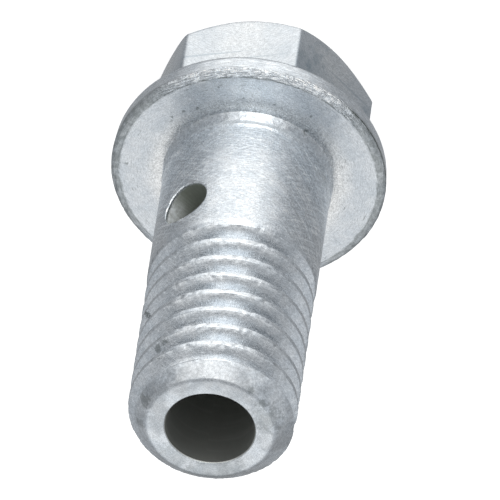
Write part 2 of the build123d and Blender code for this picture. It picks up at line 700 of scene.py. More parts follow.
@dataclass
class Handling:
    """Unevenness of the plating, ragged crests on the thread and a flaked bevel on the flange.

    Heights, depths and margins are in millimetres; a frequency counts a noise's cells in one.
    """

    bolt: BanjoBolt
    plating_height: float = 0.006
    plating_frequencies: tuple[float, float] = (1.9, 5.3)
    nick_depth: float = 0.04
    nick_frequency: float = 3.9
    nick_offset: Point = (7, 0, 0)
    ragged: float = 0.028
    ragged_frequencies: tuple[float, float] = (6.1, 7.1)
    ragged_offset: Point = (0, 9, 0)
    crest_band: tuple[float, float] = (0.1, 0.02)
    flake_depth: float = 0.05
    flake_frequencies: tuple[float, float] = (2.3, 9)
    crumb_frequencies: tuple[float, float] = (5.5, 14)
    bevel_margin: float = 0.1
    relief_ragged: float = 0.014
    relief_frequency: float = 4.3
    relief_band: tuple[float, float] = (0.25, 0.02)
    bore_margin: float = 0.05
    burr_height: float = 0.022
    burr_frequency: float = 3.3
    burr_reach: float = 0.02

    def apply(self, piece: Object) -> None:
        """Clean slivers from the cuts, and move the surface by what handling and plating left on it.

        Args:
            piece: the bolt's mesh, in millimetres.
        """
        shape = bmesh.new()
        shape.from_mesh(piece.data)
        bmesh.ops.remove_doubles(shape, verts=shape.verts, dist=SLIVER)
        bmesh.ops.dissolve_degenerate(shape, edges=shape.edges, dist=SLIVER)
        uneven = [face for face in shape.faces if len(face.verts) > 4]
        bmesh.ops.triangulate(shape, faces=uneven, quad_method="BEAUTY", ngon_method="BEAUTY")
        bmesh.ops.dissolve_degenerate(shape, edges=shape.edges, dist=SLIVER)
        shape.normal_update()
        moves = [self.shift_at(vert.co, vert.normal) for vert in shape.verts]
        for vert, move in zip(shape.verts, moves):
            vert.co += move
        shape.to_mesh(piece.data)
        shape.free()

    def shift_at(self, place: Vector, normal: Vector) -> Vector:
        """How far the surface is from where the tools left it.

        Args:
            place: a point on the clean surface.
            normal: the clean surface's normal there.

        Returns:
            The point's move.
        """
        radius = place.xy.length
        blank, thread = self.bolt.blank, self.bolt.thread
        if place.z < self.plating_height or radius < self.bolt.bore_r + self.bore_margin:
            return Vector()
        coarse, fine = (noise.noise(place * frequency) for frequency in self.plating_frequencies)
        depth = self.plating_height * (0.6 - coarse - 0.6 * fine)
        move = Vector()
        on_thread = thread.start_z < place.z < self.bolt.tip_z - 0.8 * self.bolt.tip_chamfer
        inside, outside = self.crest_band
        if on_thread and thread.crest_r - inside < radius < thread.crest_r + outside:
            nicks = noise.noise(place * self.nick_frequency + Vector(self.nick_offset))
            depth += self.nick_depth * smooth_step(0.1, 0.55, nicks)
            out_frequency, along_frequency = self.ragged_frequencies
            depth += 0.25 * self.ragged * (1 + noise.noise(place * out_frequency))
            move.z = self.ragged * noise.noise(place * along_frequency + Vector(self.ragged_offset))
        if radius > blank.bearing_r - self.bevel_margin and place.z > blank.rim_front_z - self.bevel_margin:
            depth += self.flake_depth * self.flaked(place, radius)
        margin, below = self.relief_band
        relief_top = blank.bearing_z + blank.relief_width
        if radius < blank.shank_r + margin and blank.bearing_z - below < place.z < relief_top:
            depth += self.relief_ragged * (1 + 1.5 * noise.noise(place * self.relief_frequency))
        return move - normal * max(depth, 0.0) + self.burr_at(place)

    def flaked(self, place: Vector, radius: float) -> float:
        """Share of the flakes' depth on and beside the flange's bevel.

        Args:
            place: a point on the clean surface.
            radius: its distance from the axis.

        Returns:
            The share.
        """
        front_z, bearing_r = self.bolt.blank.rim_front_z, self.bolt.blank.bearing_r
        flake, crumb = (
            noise.noise(Vector((place.x * level, place.y * level, place.z * upright)))
            for level, upright in (self.flake_frequencies, self.crumb_frequencies)
        )
        share = smooth_step(front_z - self.bevel_margin, front_z + 0.05, place.z)
        share *= smooth_step(bearing_r - self.bevel_margin, bearing_r + self.bevel_margin, radius)
        return share * (0.5 + 0.7 * flake + 0.5 * crumb)

    def burr_at(self, place: Vector) -> Vector:
        """Ragged lip that the drill threw up on one side of the cross hole.

        Args:
            place: a point on the clean surface.

        Returns:
            The point's move away from the axis.
        """
        bolt = self.bolt
        off_axis = math.hypot(place.y, place.z - bolt.blank.bearing_z - bolt.cross_hole_distance)
        off_rim = off_axis - bolt.cross_hole_r - 1.1 * bolt.cross_edge_break
        on_side = math.copysign(1, place.x) * place.y > -0.2
        if abs(off_rim) > self.burr_reach or place.xy.length < 0.95 * bolt.blank.shank_r or not on_side:
            return Vector()
        lip = self.burr_height * smooth_step(-0.35, 0.3, noise.noise(place * self.burr_frequency))
        return Vector((place.x, place.y, 0)).normalized() * lip


@dataclass(frozen=True)
class Mark:
    """One dark spot, mostly stained, a few of them painted shade: degrees to the right of the camera's side,
    millimetres out and above the bearing face.
    """

    right: float
    out: float
    reach: float
    up: float = 0.0
    share: float = 0.6

    def centre(self, bearing_z: float, front_azimuth: float) -> Point:
        """Where the spot is, in metres.

        Args:
            bearing_z: height of the bearing face.
            front_azimuth: azimuth of the camera's side.

        Returns:
            Its middle.
        """
        azimuth = front_azimuth - math.radians(self.right)
        middle = (self.out * math.cos(azimuth), self.out * math.sin(azimuth), bearing_z + self.up)
        return tuple(METRES * value for value in middle)


BEARING_PITS = (
    Mark(right=-45, out=6.0, reach=0.1),
    Mark(right=-37, out=5.8, reach=0.12),
    Mark(right=-53, out=6.1, reach=0.1),
    Mark(right=-21, out=6.9, reach=0.1),
    Mark(right=-93, out=7.1, reach=0.13),
    Mark(right=-9, out=6.0, reach=0.1),
    Mark(right=9, out=5.85, reach=0.1),
    Mark(right=30, out=6.1, reach=0.13),
    Mark(right=35, out=5.1, reach=0.2),
)
THREAD_STAINS_AND_SHADE = (
    Mark(right=-74, out=4.8, up=14.8, reach=0.3, share=0.8),
    Mark(right=-46, out=4.6, up=19.0, reach=0.3),
    Mark(right=-52, out=4.6, up=19.3, reach=0.35),
    Mark(right=-45, out=4.6, up=20.4, reach=0.3),
    Mark(right=-65, out=4.6, up=16.9, reach=0.25),
    Mark(right=53, out=4.6, up=19.3, reach=0.3),
    Mark(right=60, out=4.6, up=19.1, reach=0.3),
    Mark(right=-39, out=4.7, up=10.4, reach=0.2, share=0.7),
    # Painted shade, not a stain: a dark reflection painted on the shank just above the relief.
    Mark(right=62, out=4.9, up=1.4, reach=0.8, share=0.22),
)
TIP_STAINS = (
    Mark(right=32, out=3.8, up=22.1, reach=0.3, share=0.4),
    Mark(right=48, out=3.7, up=22.1, reach=0.35, share=0.5),
    Mark(right=63, out=3.75, up=22.1, reach=0.3, share=0.45),
    Mark(right=80, out=3.8, up=22.0, reach=0.35, share=0.4),
    Mark(right=-75, out=4.1, up=21.8, reach=0.5, share=0.4),
    Mark(right=-100, out=4.1, up=21.8, reach=0.5, share=0.35),
    Mark(right=60, out=3.3, up=22.2, reach=0.8, share=0.22),
    Mark(right=150, out=3.3, up=22.2, reach=1.0, share=0.25),
    Mark(right=172, out=3.5, up=22.1, reach=2.4, share=0.3),
    Mark(right=66, out=3.4, up=22.1, reach=1.1, share=0.32),
    Mark(right=-145, out=3.4, up=22.1, reach=1.7, share=0.26),
    Mark(right=180, out=4.0, up=21.9, reach=1.3, share=0.3),
    Mark(right=-150, out=4.2, up=21.7, reach=1.0, share=0.2),
)


@dataclass(frozen=True)
class Grain:
    """A noise: cells in a metre, octaves and their strength, then what of it is carried to what."""

    scale: float
    detail: float
    rough: float
    low: float = 0.0
    high: float = 1.0
    least: float = 0.0
    most: float = 1.0


@dataclass(frozen=True)
class Strokes:
    """Long thin noise: degrees aslant, cells in a metre along and across, what is carried to what."""

    slant: float
    along: float
    across: float
    low: float
    high: float
    least: float = 0.0
    most: float = 1.0


LINE_GRAIN = Grain(scale=1.0, detail=2, rough=0.5)


@dataclass
class Graph:
    """Short ways to add and join shader nodes."""

    tree: bpy.types.NodeTree

    def add(self, kind: str) -> bpy.types.Node:
        """Add a node of a kind."""
        return self.tree.nodes.new(kind)

    def join(self, source: Socket, target: Socket) -> None:
        """Link two sockets."""
        self.tree.links.new(source, target)

    def feed(self, socket: Socket, value: Value) -> None:
        """Give a socket a link or a plain value.

        Args:
            socket: the input.
            value: another node's output, a number, or three of them.
        """
        if isinstance(value, Socket):
            self.join(value, socket)
        elif socket.type == "RGBA":
            socket.default_value = (*value, 1.0)
        else:
            socket.default_value = value

    def math(self, operation: str, *values: Value) -> Socket:
        """Result of a Math node.

        Args:
            operation: the node's operation.
            values: its inputs, linked or plain.

        Returns:
            The node's output.
        """
        node = self.add("ShaderNodeMath")
        node.operation = operation
        for socket, value in zip(node.inputs, values):
            self.feed(socket, value)
        return node.outputs[0]

    def times(self, *values: Value) -> Socket:
        """Product of two or more values."""
        return reduce(partial(self.math, "MULTIPLY"), values)

    def plus(self, *values: Value) -> Socket:
        """Sum of two or more values."""
        return reduce(partial(self.math, "ADD"), values)

    def most(self, *values: Value) -> Socket:
        """Greatest of two or more values."""
        return reduce(partial(self.math, "MAXIMUM"), values)

    def scaled(self, value: Value, factor: Value, added: Value) -> Socket:
        """Value times a factor, plus another value."""
        return self.math("MULTIPLY_ADD", value, factor, added)

    def away(self, value: Value, middle: Value) -> Socket:
        """How far a value is from another."""
        return self.math("ABSOLUTE", self.math("SUBTRACT", value, middle))

    def vector(self, operation: str, *values: Value) -> bpy.types.Node:
        """Vector Math node.

        Args:
            operation: the node's operation.
            values: its inputs, linked or plain.

        Returns:
            The node.
        """
        node = self.add("ShaderNodeVectorMath")
        node.operation = operation
        for socket, value in zip(node.inputs, values):
            self.feed(socket, value)
        return node

    def distance(self, place: Socket, centre: Point) -> Socket:
        """How far a place is from a point."""
        return self.vector("DISTANCE", place, centre).outputs["Value"]

    def along(self, direction: Socket, axis: Sequence[float]) -> Socket:
        """How far a direction points along an axis, from -1 to 1."""
        return self.vector("DOT_PRODUCT", direction, tuple(axis)).outputs["Value"]

    def scale_colour(self, colour: Value, factor: Socket) -> Socket:
        """Colour times a number.

        Args:
            colour: a colour or an output.
            factor: the number.

        Returns:
            The product.
        """
        node = self.vector("SCALE", colour)
        self.join(factor, node.inputs["Scale"])
        return node.outputs[0]

    def spread(
        self, value: Socket, low: float, high: float, to_low: float = 0.0, to_high: float = 1.0
    ) -> Socket:
        """Carry a value from one range to another, clamped.

        Args:
            value: the output that is read.
            low: value that becomes to_low.
            high: value that becomes to_high.
            to_low: result at low.
            to_high: result at high.

        Returns:
            The node's output.
        """
        node = self.add("ShaderNodeMapRange")
        node.interpolation_type = "SMOOTHSTEP"
        for name, number in (("From Min", low), ("From Max", high), ("To Min", to_low), ("To Max", to_high)):
            node.inputs[name].default_value = number
        self.join(value, node.inputs["Value"])
        return node.outputs["Result"]

    def blend(self, share: Socket, first: Value, second: Value) -> Socket:
        """Colour between two colours.

        Args:
            share: 0 for the first colour, 1 for the second.
            first: a colour or an output.
            second: a colour or an output.

        Returns:
            The mixed colour.
        """
        node = self.add("ShaderNodeMix")
        node.data_type = "RGBA"
        self.join(share, node.inputs["Factor"])
        self.feed(node.inputs[6], first)
        self.feed(node.inputs[7], second)
        return node.outputs[2]

    def raw_noise(self, place: Socket, grain: Grain) -> Socket:
        """Noise in space, about 0.5.

        Args:
            place: where it is read.
            grain: its scale, octaves and their strength.

        Returns:
            The noise.
        """
        node = self.add("ShaderNodeTexNoise")
        self.join(place, node.inputs["Vector"])
        node.inputs["Scale"].default_value = grain.scale
        node.inputs["Detail"].default_value = grain.detail
        node.inputs["Roughness"].default_value = grain.rough
        return node.outputs["Fac"]

    def lines(self, arc: Socket, up: Socket, strokes: Strokes) -> Socket:
        """Long thin noise on a turned surface.

        Args:
            arc: distance round the surface, in metres.
            up: distance at right angles to that.
            strokes: how the lines lie, how long and thin they are and what of them shows.

        Returns:
            Their strength, from least to most.
        """
        flat = self.add("ShaderNodeCombineXYZ")
        self.join(arc, flat.inputs["X"])
        self.join(up, flat.inputs["Y"])
        turn = self.add("ShaderNodeVectorRotate")
        turn.rotation_type = "Z_AXIS"
        turn.inputs["Angle"].default_value = -math.radians(strokes.slant)
        self.join(flat.outputs["Vector"], turn.inputs["Vector"])
        stretched = self.vector("MULTIPLY", turn.outputs["Vector"], (strokes.along, strokes.across, 1.0))
        raw = self.raw_noise(stretched.outputs["Vector"], LINE_GRAIN)
        return self.spread(raw, strokes.low, strokes.high, strokes.least, strokes.most)


@dataclass(frozen=True)
class ZincPlating:
    """Dull bluish zinc plate over steel, with its grain, rubbing marks, stains and dark holes, and with light
    and shade painted on the shank, thread, tip, bevel, bearing face and holes.
    """

    body: Colour = (0.725, 0.765, 0.805)
    dull: Colour = (0.64, 0.69, 0.74)
    mottle: Colour = (0.275, 0.35, 0.41)
    # Dark colour of the stains, also used for painted shadow and shade: the fold line on the flange and one
    # dark spot on the shank.
    stain_and_shadow: Colour = (0.13, 0.15, 0.145)
    # Dark oil in the bore, also painted shade in the deep hole.
    oil: Colour = (0.45, 0.465, 0.45)
    # Dark oil in the cross hole, also painted shade where the hole is deep and on its side away from the
    # light.
    cross_oil_and_shade: Colour = (0.30, 0.325, 0.29)
    # Painted highlight: pale metal on the cross hole's lit side near its mouth.
    lit_drilled_metal: Colour = (0.82, 0.85, 0.87)
    # Paler rubbed plate round the shank's foot, also a painted reflection of the shank.
    rubbed_ring_and_reflection: Colour = (0.80, 0.81, 0.81)
    roughness: float = 0.3
    roughness_change: float = 0.08
    thread_polish: float = 0.03
    cross_roughness: float = 0.85
    bore_roughness: float = 0.55
    grain_depth: float = 0.016
    front_azimuth: float = math.radians(-45.2)
    front_flat: float = math.radians(-30) - math.radians(-45.2)
    # Middle of the painted shadow along the flange's fold, as an angle from the camera's side.
    fold_shadow_middle: float = math.radians(70)
    pits: Grain = Grain(12000, 3, 0.7, 0.3, 0.7)
    cloud: Grain = Grain(900, 5, 0.7, 0.38, 0.62)
    speckle: Grain = Grain(13000, 2, 0.6, 0.36, 0.64, 0.9, 1.08)
    shank_specks: Grain = Grain(9000, 3, 0.7, 0.38, 0.62, 0.86, 1.14)
    small_crumbs: Grain = Grain(6500, 4, 0.75, 0.4, 0.6)
    bevel_border: Grain = Grain(2500, 4, 0.7, most=0.3)
    tip_drift: Grain = Grain(520, 3, 0.6, 0.4, 0.6, -0.22, 0.08)
    ring_specks: Grain = Grain(6500, 4, 0.75, 0.4, 0.6, -0.06, 0.2)
    ring_border: Grain = Grain(1100, 3, 0.6, most=0.6)
    head_patches: Grain = Grain(900, 6, 0.75, 0.44, 0.58)
    stain_border: Grain = Grain(3200, 4, 0.7, 0.35, 0.65, 0.55, 1.7)
    grime_border: Grain = Grain(1500, 5, 0.75, most=0.5)
    grime_crumbs: Grain = Grain(2600, 4, 0.7, 0.4, 0.6, 0.6, 1.0)
    grime_breaks: Grain = Grain(2200, 4, 0.7, 0.36, 0.56)
    face_patches: Grain = Grain(700, 2, 0.5, 0.45, 0.6)
    hole_streaks: Grain = Grain(3500, 4, 0.7, 0.36, 0.64, 0.6, 1.0)
    rising: Strokes = Strokes(-36, 700, 8000, 0.5, 0.64)
    falling: Strokes = Strokes(36, 700, 8000, 0.54, 0.66)
    around: Strokes = Strokes(0, 1700, 11000, 0.5, 0.62)
    turned: Strokes = Strokes(0, 1700, 11000, 0.42, 0.6)
    lengthways: Strokes = Strokes(90, 1200, 9000, 0.5, 0.66)
    long_crumbs: Strokes = Strokes(3, 2000, 9500, 0.42, 0.58)
    dashes: Strokes = Strokes(0, 4000, 13000, 0.38, 0.64, 0.9, 1.1)
    hatching: tuple[tuple[Strokes, Strokes], ...] = (
        (Strokes(-36, 380, 5200, 0.54, 0.66, 0.0, 0.21), Strokes(-36, 380, 5200, 0.34, 0.46, -0.1, 0.0)),
        (Strokes(34, 380, 5200, 0.54, 0.66, 0.0, 0.21), Strokes(34, 380, 5200, 0.34, 0.46, -0.1, 0.0)),
    )
    head_streaks: Strokes = Strokes(62, 350, 2400, 0.44, 0.58)
    drawn_lines: Strokes = Strokes(5, 90, 2600, 0.6, 0.68)
    face_strokes: Strokes = Strokes(0, 2200, 9000, 0.62, 0.72)
    bore_rings: Strokes = Strokes(3, 120, 1500, 0.52, 0.7, 1.0, 1.12)
    marks: tuple[Mark, ...] = BEARING_PITS + THREAD_STAINS_AND_SHADE + TIP_STAINS

    def material(self, bolt: BanjoBolt) -> bpy.types.Material:
        """Make the finish.

        Args:
            bolt: the bolt whose sizes place the stains, the painted light and shade, and the dark holes.

        Returns:
            A node material that reads the piece's Object coordinates.
        """
        material = bpy.data.materials.new("zinc_plate")
        material.use_nodes = True
        shader = material.node_tree.nodes["Principled BSDF"]
        shader.inputs["Metallic"].default_value = 1.0
        PlateGraph(material.node_tree, self, bolt).wire(shader)
        return material


@dataclass
class PlateGraph(Graph):
    """Nodes of the finish. Lengths are in millimetres until a node takes them, turns in degrees."""

    finish: ZincPlating
    bolt: BanjoBolt
    point: Socket = field(init=False)
    angle: Socket = field(init=False)
    turn: Socket = field(init=False)
    out: Socket = field(init=False)
    up: Socket = field(init=False)
    arc: Socket = field(init=False)

    def __post_init__(self) -> None:
        """Find where the shaded point is: its angle from the camera's side, distance and height."""
        azimuth = self.finish.front_azimuth
        self.point = self.add("ShaderNodeTexCoord").outputs["Object"]
        ahead = self.along(self.point, (math.cos(azimuth), math.sin(azimuth), 0))
        side = self.along(self.point, (-math.sin(azimuth), math.cos(azimuth), 0))
        self.angle = self.math("ARCTAN2", side, ahead)
        self.turn = self.math("ABSOLUTE", self.angle)
        self.out = self.math("SQRT", self.scaled(ahead, ahead, self.times(side, side)))
        self.up = self.along(self.point, (0, 0, 1))
        self.arc = self.times(self.angle, self.bolt.blank.shank_r * METRES)

    def wire(self, shader: bpy.types.Node) -> None:
        """Join the finish to a shader.

        Args:
            shader: the surface's shader.
        """
        finish, start_z, shank_r = self.finish, self.bolt.thread.start_z, self.bolt.blank.shank_r
        pits, rubbed, flaked = self.raw_noise(self.point, finish.pits), self.rubbing(), self.flaking()
        cross, bore = self.cross_wall(), self.bore_wall()
        # The holes' colours carry painted shade deep in them and a painted highlight on the cross hole's lit
        # side.
        tone = self.blend(cross, self.tone(rubbed, flaked), self.cross_tone())
        self.join(self.blend(bore, tone, self.bore_tone()), shader.inputs["Base Color"])
        change = finish.roughness_change
        rough = self.spread(
            pits, finish.pits.low, finish.pits.high, finish.roughness - change, finish.roughness + change
        )
        polished = self.by_height(start_z, start_z + 0.5, 0.0, finish.thread_polish)
        rough = self.math("SUBTRACT", rough, polished)
        cross_rough = self.times(cross, finish.cross_roughness)
        drilled_rough = self.most(cross_rough, self.times(bore, finish.bore_roughness))
        self.join(self.most(rough, drilled_rough), shader.inputs["Roughness"])
        shown = self.by_height(start_z, start_z + 0.5, 1.0, 0.22)
        shown = self.times(shown, self.by_distance(shank_r, shank_r + 0.4, 0.8, 0.4))
        bump = self.add("ShaderNodeBump")
        bump.inputs["Distance"].default_value = finish.grain_depth * METRES
        bump.inputs["Strength"].default_value = 1.0
        height = self.scaled(rubbed, 0.5, self.times(pits, shown))
        self.join(self.scaled(flaked, 2.5, height), bump.inputs["Height"])
        self.join(bump.outputs["Normal"], shader.inputs["Normal"])

    def by_height(self, low: float, high: float, at_low: float = 0.0, at_high: float = 1.0) -> Socket:
        """Value that changes with the height."""
        return self.spread(self.up, low * METRES, high * METRES, at_low, at_high)

    def by_distance(self, low: float, high: float, at_low: float = 0.0, at_high: float = 1.0) -> Socket:
        """Value that changes with the distance from the axis."""
        return self.spread(self.out, low * METRES, high * METRES, at_low, at_high)

    def by_turn(self, low: float, high: float, at_low: float, at_high: float) -> Socket:
        """Value that changes to both sides of the camera's side."""
        return self.spread(self.turn, math.radians(low), math.radians(high), at_low, at_high)

    def grain(self, grain: Grain) -> Socket:
        """Noise at the shaded point, from its least to its most."""
        return self.spread(self.raw_noise(self.point, grain), grain.low, grain.high, grain.least, grain.most)

    def ragged_band(
        self, border: Grain, low: float, high: float, at_low: float = 0.0, at_high: float = 1.0
    ) -> Socket:
        """Value that changes with the distance from the axis, with a border as ragged as its most."""
        ragged = self.scaled(self.raw_noise(self.point, border), border.most * METRES, self.out)
        return self.spread(ragged, low * METRES, high * METRES, at_low, at_high)

    def on_shank(self, strokes: Strokes) -> Socket:
        """Strokes laid round the shank's surface."""
        return self.lines(self.arc, self.up, strokes)

    def sideways(self) -> Socket:
        """Share that grows from a little on the camera's side to 1 on the bolt's flanks."""
        return self.by_turn(14, 48, 0.3, 1.0)

    def rubbing(self) -> Socket:
        """Fine scratches: crossed aslant and round the shank, lengthways on the thread's flanks.

        Returns:
            Their height, from 0 to about 1.
        """
        finish, bolt, blank = self.finish, self.bolt, self.bolt.blank
        crossed = self.most(self.on_shank(finish.rising), self.on_shank(finish.falling))
        around = self.times(self.on_shank(finish.around), 0.7)
        crossed = self.most(self.times(crossed, self.sideways()), around)
        shank_r, rim_r = blank.shank_r + 0.05, blank.flange_back_r - 0.03
        relief_z = blank.bearing_z + blank.relief_width
        near_shank = self.by_distance(shank_r, shank_r + 0.35, 1.0, 0.12)
        above_relief = self.by_height(relief_z - 0.1, relief_z + 0.05)
        near_shank = self.times(near_shank, self.spread(above_relief, 0.0, 1.0, 0.12, 1.0))
        below_tip = self.by_height(bolt.chamfer_z - 0.1, bolt.chamfer_z, 1.0, 0.1)
        threaded = self.times(self.by_height(bolt.thread.start_z, bolt.thread.start_z + 0.2), below_tip)
        rolled = self.times(self.on_shank(finish.lengthways), self.times(threaded, 0.35))
        on_plain = self.times(near_shank, self.spread(threaded, 0.0, 1.0, 1.0, 0.35))
        plain = self.times(crossed, self.times(on_plain, below_tip))
        on_rim = self.times(self.by_distance(rim_r, rim_r + 0.02), 0.6)
        return self.most(plain, self.times(self.on_shank(finish.turned), on_rim), rolled)

    def flaking(self) -> Socket:
        """Crumbled plate on the flange's bevel.

        Returns:
            Height of the crumbs, 0 off the bevel.
        """
        arc = self.times(self.angle, self.bolt.blank.flange_r * METRES)
        run = self.math("SUBTRACT", self.out, self.up)
        small = self.times(self.grain(self.finish.small_crumbs), 0.35)
        crumbs = self.scaled(self.lines(arc, run, self.finish.long_crumbs), 0.65, small)
        return self.times(self.bevel_zone(), crumbs)

    def bevel_zone(self) -> Socket:
        """Where the plate has flaked on the bevel: strongest on the camera's side, where the crumbs are also
        painted pale as a highlight.

        Returns:
            Share of the flaked zone from 0 to 1.
        """
        bearing_r, rim_z = self.bolt.blank.bearing_r, self.bolt.blank.rim_front_z
        band = self.ragged_band(self.finish.bevel_border, bearing_r + 0.08, bearing_r + 0.2)
        above = self.by_height(rim_z - 0.2, rim_z - 0.02)
        return self.times(band, above, self.by_turn(38, 60, 1.0, 0.15))

    def tone(self, rubbed: Socket, flaked: Socket) -> Socket:
        """Colour of the plate, with its clouds, specks and stains, and with painted light and shade on the
        thread, shank, tip, bevel and bearing face.

        Args:
            rubbed: the scratches.
            flaked: the crumbs on the bevel.

        Returns:
            The colour outside the holes.
        """
        finish = self.finish
        gaps = self.scaled(self.bevel_zone(), -0.3, 1.0)
        bright = self.times(
            self.grain(finish.speckle),
            self.lines(self.arc, self.scaled(self.out, 1.7, self.up), finish.dashes),
            self.hatching(),
            self.spread(rubbed, 0.0, 1.0, 0.92, 1.2),
            # Painted highlight on flaked plate: crumbs on the bevel are painted up to half again brighter
            # than the plate, most on the camera's side.
            self.scaled(flaked, 0.85, gaps),
            self.clouds(),
            self.thread_light_and_shade(),
        )
        tone = self.blend(self.grain(finish.cloud), finish.dull, finish.body)
        # Rubbing and painted reflection: the bearing face is paler beside the shank.
        tone = self.blend(self.times(self.foot_ring(), 0.8), tone, finish.rubbed_ring_and_reflection)
        tone = self.blend(self.mottling(), self.scale_colour(tone, bright), finish.mottle)
        # Stains, and painted shadow and shade, in the same dark colour.
        return self.blend(self.stains(), tone, finish.stain_and_shadow)

    def hatching(self) -> Socket:
        """Crossed strokes on the plain shank, some paler and some a little darker than the plate, with
        painted shade on the shank's flanks and a painted highlight on its camera side.

        Returns:
            Factor of the colour, about 1.
        """
        start_z, foot_z = self.bolt.thread.start_z, self.bolt.blank.bearing_z + self.bolt.blank.relief_width
        one_way, other_way = (
            self.plus(self.on_shank(pale), self.on_shank(dark), 1.0) for pale, dark in self.finish.hatching
        )
        crossed = self.times(self.grain(self.finish.shank_specks), self.times(one_way, other_way))
        # Painted shade: the strokes come out darker than the plate on average, most on the flanks turned from
        # the camera's side.
        crossed = self.times(self.math("SUBTRACT", crossed, 1.08), self.sideways())
        on_shank = self.times(
            self.by_height(foot_z, foot_z + 0.1), self.by_height(start_z - 0.4, start_z + 0.6, 1.0, 0.25)
        )
        # Painted highlight: the shank is made lighter where it faces the camera's side.
        return self.scaled(self.plus(crossed, self.by_turn(15, 45, 0.09, 0.0)), on_shank, 1.0)

    def clouds(self) -> Socket:
        """Soft clouds on the tip, with painted light that makes the tip a little paler on its sides turned
        from the camera's side, and the bright rough ring round the foot of the shank, which is partly a
        painted reflection.

        Returns:
            Factor of the colour, about 1.
        """
        on_tip = self.by_height(self.bolt.chamfer_z - 0.1, self.bolt.chamfer_z + 0.1)
        # Painted light: the tip is made up to 6% paler the further it turns from the camera's side.
        drift_and_painted_light = self.plus(self.grain(self.finish.tip_drift), self.by_turn(20, 110, 0.0, 0.06))
        rough_ring = self.times(self.foot_ring(), self.grain(self.finish.ring_specks))
        return self.plus(self.times(on_tip, drift_and_painted_light), rough_ring, 1.0)

    def thread_light_and_shade(self) -> Socket:
        """Painted light and shade on the thread: crests painted lighter and the flanks below them painted
        darker, turned round on the sides away from the camera's side, where the crests are darker and the
        flanks lighter.

        Returns:
            Factor of the colour, about 1.
        """
        thread, end_z = self.bolt.thread, self.bolt.chamfer_z
        deep = self.by_distance(thread.root_r + 0.12, thread.root_r + 0.5, -0.08, -0.2)
        shade = self.scaled(self.by_distance(thread.crest_r - 0.05, thread.crest_r - 0.01), 0.32, deep)
        on_thread = self.times(
            self.by_height(thread.start_z, thread.start_z + 0.3), self.by_height(end_z - 0.1, end_z, 1.0, 0.0)
        )
        # Painted light and shade: full on the camera's side, turned round on the sides, where the crest line
        # darkens and the flanks lighten.
        return self.scaled(shade, self.times(on_thread, self.by_turn(40, 65, 1.0, -0.6)), 1.0)

    def foot_ring(self) -> Socket:
        """Ring of the bearing face beside the shank, painted paler: rubbed plate, and a painted reflection of
        the shank's bright side.

        Returns:
            Share of the ring from 0 to 1.
        """
        shank_r, bearing_z = self.bolt.blank.shank_r, self.bolt.blank.bearing_z
        ring = self.ragged_band(self.finish.ring_border, shank_r + 0.6, shank_r + 1.8, 1.0, 0.0)
        below = self.by_height(bearing_z + 0.1, bearing_z + 0.3, 1.0, 0.0)
        return self.times(ring, self.by_distance(shank_r + 0.02, shank_r + 0.15), below)

    def mottling(self) -> Socket:
        """Dark clouds on the side flats of the hexagon, and a few drawn lines on the front one.

        Returns:
            Share of the darker plate from 0 to 1.
        """
        finish, back_z = self.finish, self.bolt.blank.rim_back_z
        off_front = self.away(self.angle, finish.front_flat)
        off_front = self.spread(off_front, math.radians(29), math.radians(31))
        streaks = self.scaled(self.on_shank(finish.head_streaks), 0.45, 0.55)
        patches = self.times(streaks, self.grain(finish.head_patches))
        patches = self.most(self.scaled(patches, 0.75, self.by_height(1.2, 4.2, -0.2, 0.5)), 0.0)
        side = self.times(off_front, self.times(patches, 0.66))
        front = self.most(self.times(self.on_shank(finish.drawn_lines), 0.4), self.times(patches, 0.12))
        return self.times(self.by_height(back_z - 0.4, back_z, 1.0, 0.0), self.most(side, front))

    def stains(self) -> Socket:
        """Grime on the flange's edge with a painted shadow along its fold, strokes on the bearing face and
        single spots, one of which is painted shade.

        Returns:
            Share of grime from 0 to 1.
        """
        finish = self.finish
        uneven = self.grain(finish.stain_border)
        share = self.most(self.edge_grime_and_fold_shadow(), self.face_strokes())
        for mark in finish.marks:
            away = self.distance(self.point, mark.centre(self.bolt.blank.bearing_z, finish.front_azimuth))
            reach = mark.reach * METRES
            spot = self.spread(self.times(away, uneven), 0.5 * reach, reach, mark.share, 0.0)
            share = self.most(share, spot)
        return share

    def edge_grime_and_fold_shadow(self) -> Socket:
        """Grime on the bevel, thickest at its sides, a dark broken line along its inner edge, and painted
        shadow along the fold at the rim's front edge, about 70° to the right of the camera's side.

        Returns:
            Share of grime from 0 to 1.
        """
        finish, rim_z = self.finish, self.bolt.blank.rim_front_z
        bearing_r, flange_r = self.bolt.blank.bearing_r, self.bolt.blank.flange_r
        above = self.by_height(rim_z - 0.35, rim_z - 0.05)
        band = self.times(self.ragged_band(finish.grime_border, bearing_r + 0.12, bearing_r + 0.3), above)
        sides = self.spread(self.math("ABSOLUTE", self.math("SINE", self.angle)), 0.5, 0.85, 0.0, 0.62)
        grime = self.times(self.times(self.grain(finish.grime_crumbs), sides), band)
        broken = self.grain(finish.grime_breaks)
        off_face = self.away(self.out, (bearing_r + 0.02) * METRES)
        inner = self.times(self.spread(off_face, 0.02 * METRES, 0.07 * METRES, 0.65, 0.0), above, broken)
        # Painted shadow: a dark line along the fold at the rim's front edge, on one side.
        off_rim = self.away(self.up, (rim_z - 0.02) * METRES)
        stretch = self.math("ABSOLUTE", self.plus(self.angle, finish.fold_shadow_middle))
        outer = self.times(
            self.spread(off_rim, 0.03 * METRES, 0.09 * METRES, 1.0, 0.0),
            self.by_distance(flange_r - 0.12, flange_r - 0.06),
            self.spread(stretch, math.radians(24), math.radians(38), 1.0, 0.0),
            self.spread(broken, 0.0, 0.6, 0.5, 1.0),
        )
        return self.most(grime, self.most(inner, outer))

